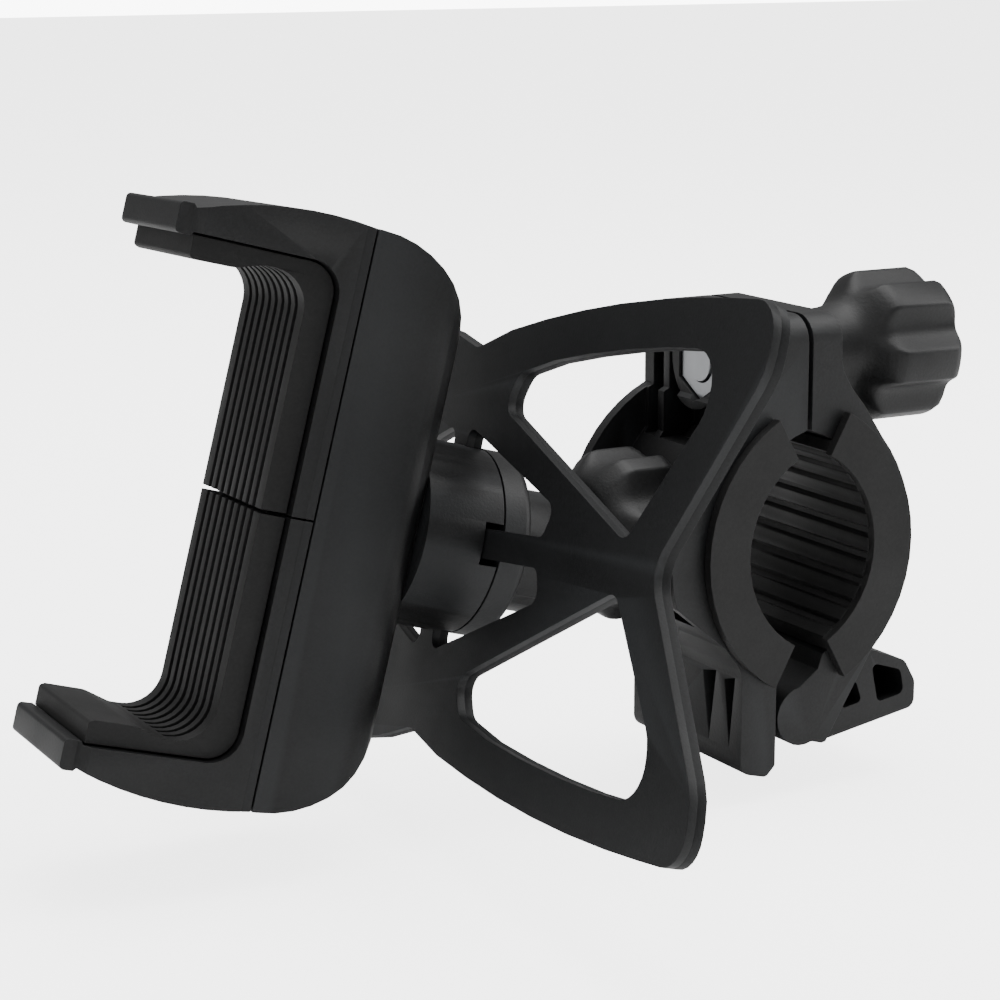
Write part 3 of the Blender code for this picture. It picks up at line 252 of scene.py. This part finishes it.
# radius of a fluted grip: flat-topped ridges with hollow flutes between them
def flutedRadius(turn, look):
    pitch = 2 * pi / look["lobes"]
    away = abs((turn - radians(look["phase"]) + pitch / 2) % pitch - pitch / 2)
    ridge = look["ridge"] / 2 / look["radius"]
    if away <= ridge:
        return look["radius"]
    share = (away - ridge) / (pitch - 2 * ridge)
    return look["radius"] - look["depth"] * 4 * share * (1 - share)


# rings along X: each station gives its place and largest radius; the smaller of grip and station rules, softly
def flutedGrip(name, node, place, look):
    steps = 36 * look["lobes"]
    verts, faces = [], []
    for x, limit in look["stations"]:
        for k in range(steps):
            turn = 2 * pi * k / steps
            grip = flutedRadius(turn, look)
            soft = look["blend"]
            apart = max(soft - abs(grip - limit), 0.0) / soft
            radius = min(grip, limit) - apart * apart * soft / 4
            verts.append((x * mm, radius * cos(turn) * mm, radius * sin(turn) * mm))
    rows = len(look["stations"])
    for row in range(rows if look["ring"] else rows - 1):
        low, high = row * steps, (row + 1) % rows * steps
        for k in range(steps):
            following = (k + 1) % steps
            faces.append((low + k, low + following, high + following, high + k))
    if not look["ring"]:
        faces.append(tuple(range(steps))[::-1])
        faces.append(tuple(range((rows - 1) * steps, rows * steps)))
    mesh = bpy.data.meshes.new(name)
    mesh.from_pydata(verts, [], faces)
    mesh.transform(place)
    shape = bmesh.new()
    shape.from_mesh(mesh)
    bmesh.ops.recalc_face_normals(shape, faces=shape.faces)
    shape.to_mesh(mesh)
    shape.free()
    return smoothShading(addPiece(name, mesh, node), 40)


mouldedPieces = {
    "fixedJaw": ("fixed_jaw", 0.35), "swingJaw": ("swing_jaw", 0.35),
    "fixedLiner": ("fixed_jaw_pad", 0.2), "swingLiner": ("swing_jaw_pad", 0.2),
    "webBand": ("security_band", 0.45), "cradleBody": ("housing_rear", 0.4), "coverPlate": ("cover_plate", 0.2),
    "upperJaw": ("upper_jaw", 0.3), "lowerJaw": ("lower_jaw", 0.3),
    "upperPad": ("upper_jaw_pad", 0.16), "lowerPad": ("lower_jaw_pad", 0.16),
    "rearBoss": ("socket_boss", 0.3),
    "ballStem": ("ball_stem", 0.2), "upperSlider": ("upper_slider", 0.2), "lowerSlider": ("lower_slider", 0.2),
    "nutM6": ("hex_nut", 0.3),
}
# distances behind the cradle's rim plane, in mm
partingLines = {"webBand": 26.85, "upperJaw": -1.6, "lowerJaw": -1.6}
for name, (node, width) in mouldedPieces.items():
    piece = moulded(name, node, width)
    if name in partingLines:
        partingLine(piece, partingLines[name])
print("moulded pieces:", len(mouldedPieces))

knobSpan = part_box("clamp_knob")
knobStart, knobEnd = (knobSpan[side][0] / mm for side in (0, 1))
knobLobes = knobEnd - 11.8   # where the lobes start
knobLook = {
    "lobes": 6, "phase": 10, "radius": 11.6, "ridge": 5.0, "depth": 2.3, "blend": 1.2, "ring": False,
    "stations": [(knobEnd - 8, 3.4), (knobStart, 3.4), (knobStart, 5.9), (knobStart + 0.3, 6.3),
                 (knobStart + 1, 6.4),
                 (knobLobes - 9, 6.4), (knobLobes - 7, 6.55), (knobLobes - 5, 6.95), (knobLobes - 4, 7.45),
                 (knobLobes - 3, 8.35), (knobLobes - 2, 9.5), (knobLobes - 1, 10.7), (knobLobes, 11.9),
                 (knobLobes + 0.6, 12.6), (knobLobes + 1.6, 13.0), (knobEnd - 2.0, 13.0), (knobEnd - 1.3, 11.6),
                 (knobEnd - 0.6, 11.1), (knobEnd - 0.15, 10.4), (knobEnd, 9.4), (knobEnd, 6.0)],
}
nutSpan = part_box("lock_nut")
nutFront, nutBack = (nutSpan[side][0] / mm for side in (0, 1))
nutLook = {
    "lobes": 7, "phase": 12, "radius": 12.8, "ridge": 3.0, "depth": 2.2, "blend": 0.9, "ring": True,
    "stations": [(nutFront, 4.35), (nutFront, 7.9), (nutFront + 0.12, 8.5), (nutFront + 0.6, 9.2),
                 (nutFront + 2, 10.5), (nutFront + 3.6, 12.0), (nutFront + 4.6, 12.9),
                 (nutFront + 5.6, 13.6), (nutBack - 1.8, 13.6),
                 (nutBack - 0.9, 13.0), (nutBack - 0.3, 12.2), (nutBack, 11.4), (nutBack, 9.55),
                 (nutFront + 2.6, 9.55), (nutFront + 2.6, 4.35)],
}
flutedGrip("knob", "clamp_knob", boltFrame, knobLook)
flutedGrip("lockNut", "lock_nut", swivelFrame, nutLook)
print("fluted grips: 2")

for node, thing in frame["nodes"].items():
    if node not in [entry[0] for entry in mouldedPieces.values()]:
        thing.data.materials.clear()
        thing.data.materials.append(finishes[finishOfSlot[slotOf[node]]])

stage = {"floorSize": 6.0, "lowest": cadBounds[0][2], "glow": 3.5}


def makeFloor():
    made, tree, place = newMaterial("paperSweepMatt")   # seamless background paper: even, faintly fibrous white
    fibre = addNode(tree, "ShaderNodeTexNoise", {"Scale": perMm(2.5), "Detail": 3.0}, {"Vector": place})
    colour = addNode(tree, "ShaderNodeMix", {"data_type": "RGBA", 6: linear("#fbfbfb"), 7: linear("#ffffff")},
                     {0: fibre.outputs["Fac"]})
    seen = addNode(tree, "ShaderNodeLightPath").outputs["Is Camera Ray"]
    glow = addNode(tree, "ShaderNodeMapRange", {"To Max": stage["glow"]}, {"Value": seen})
    shader = addNode(tree, "ShaderNodeBsdfPrincipled", {"Roughness": 0.9, "Specular IOR Level": 0.2,
                     "Emission Color": linear("#ffffff")},
                     {"Base Color": colour.outputs[2], "Emission Strength": glow.outputs["Result"]})
    addNode(tree, "ShaderNodeOutputMaterial", None, {"Surface": shader.outputs["BSDF"]})
    mesh = bpy.data.meshes.new("floor")
    half = stage["floorSize"] / 2
    level = stage["lowest"]
    mesh.from_pydata([(-half, -half, level), (half, -half, level), (half, half, level), (-half, half, level)],
                     [], [(0, 1, 2, 3)])
    floor = bpy.data.objects.new("floor", mesh)
    bpy.context.scene.collection.objects.link(floor)
    mesh.materials.append(made)


def addLight(name, place, target, size, power, colour="#ffffff"):
    light = bpy.data.lights.new(name, "AREA")
    light.shape = "RECTANGLE"
    light.size, light.size_y = size
    light.energy = power
    light.color = linear(colour)[:3]
    thing = bpy.data.objects.new(name, light)
    bpy.context.scene.collection.objects.link(thing)
    thing.location = place
    thing.rotation_euler = (Vector(target) - Vector(place)).to_track_quat("-Z", "Y").to_euler()


lighting = {"ambient": 0.3, "backdrop": 9.0, "overhead": 8.0, "left": 1.0, "rim": 3.5}


def makeLights(look):
    world = bpy.data.worlds.new("paleStudio")
    world.use_nodes = True
    bpy.context.scene.world = world
    tree = world.node_tree
    tree.nodes.clear()
    # the backdrop is seen brighter than it lights the piece, as with a backlit sweep
    seen = addNode(tree, "ShaderNodeLightPath").outputs["Is Camera Ray"]
    strength = addNode(tree, "ShaderNodeMapRange", {"To Min": look["ambient"], "To Max": look["backdrop"]},
                       {"Value": seen})
    sky = addNode(tree, "ShaderNodeBackground", {"Color": linear("#ffffff")},
                  {"Strength": strength.outputs["Result"]})
    addNode(tree, "ShaderNodeOutputWorld", None, {"Surface": sky.outputs["Background"]})
    middle = (-0.03, 0.0, 0.01)
    addLight("overheadSoftbox", (0.05, 0.05, 0.75), middle, (0.9, 0.7), look["overhead"])
    addLight("leftFill", (-0.7, -0.5, 0.35), middle, (0.5, 0.5), look["left"])
    addLight("rightStrip", (0.75, -0.25, 0.45), middle, (0.25, 0.7), look["rim"])


# azimuth from -Y towards +X, elevation above the floor, distance and lens as fitted to the real view
view = {"azimuth": -29.59, "elevation": 11.23, "distance": 0.4126, "target": (-0.0293, 0.0194, 0.0122),
        "lens": 97.0, "shift": (-0.0199, -0.0523)}


def makeCamera():
    camera = bpy.data.cameras.new("camera")
    camera.lens = view["lens"]
    camera.sensor_width = 36.0
    camera.shift_x, camera.shift_y = view["shift"]
    camera.clip_start = 0.01
    thing = bpy.data.objects.new("camera", camera)
    bpy.context.scene.collection.objects.link(thing)
    around, up = radians(view["azimuth"]), radians(view["elevation"])
    outward = Vector((sin(around) * cos(up), -cos(around) * cos(up), sin(up)))
    thing.location = Vector(view["target"]) + outward * view["distance"]
    thing.rotation_euler = (-outward).to_track_quat("-Z", "Y").to_euler()
    bpy.context.scene.camera = thing


makeFloor()
makeLights(lighting)
makeCamera()
print("stage set")
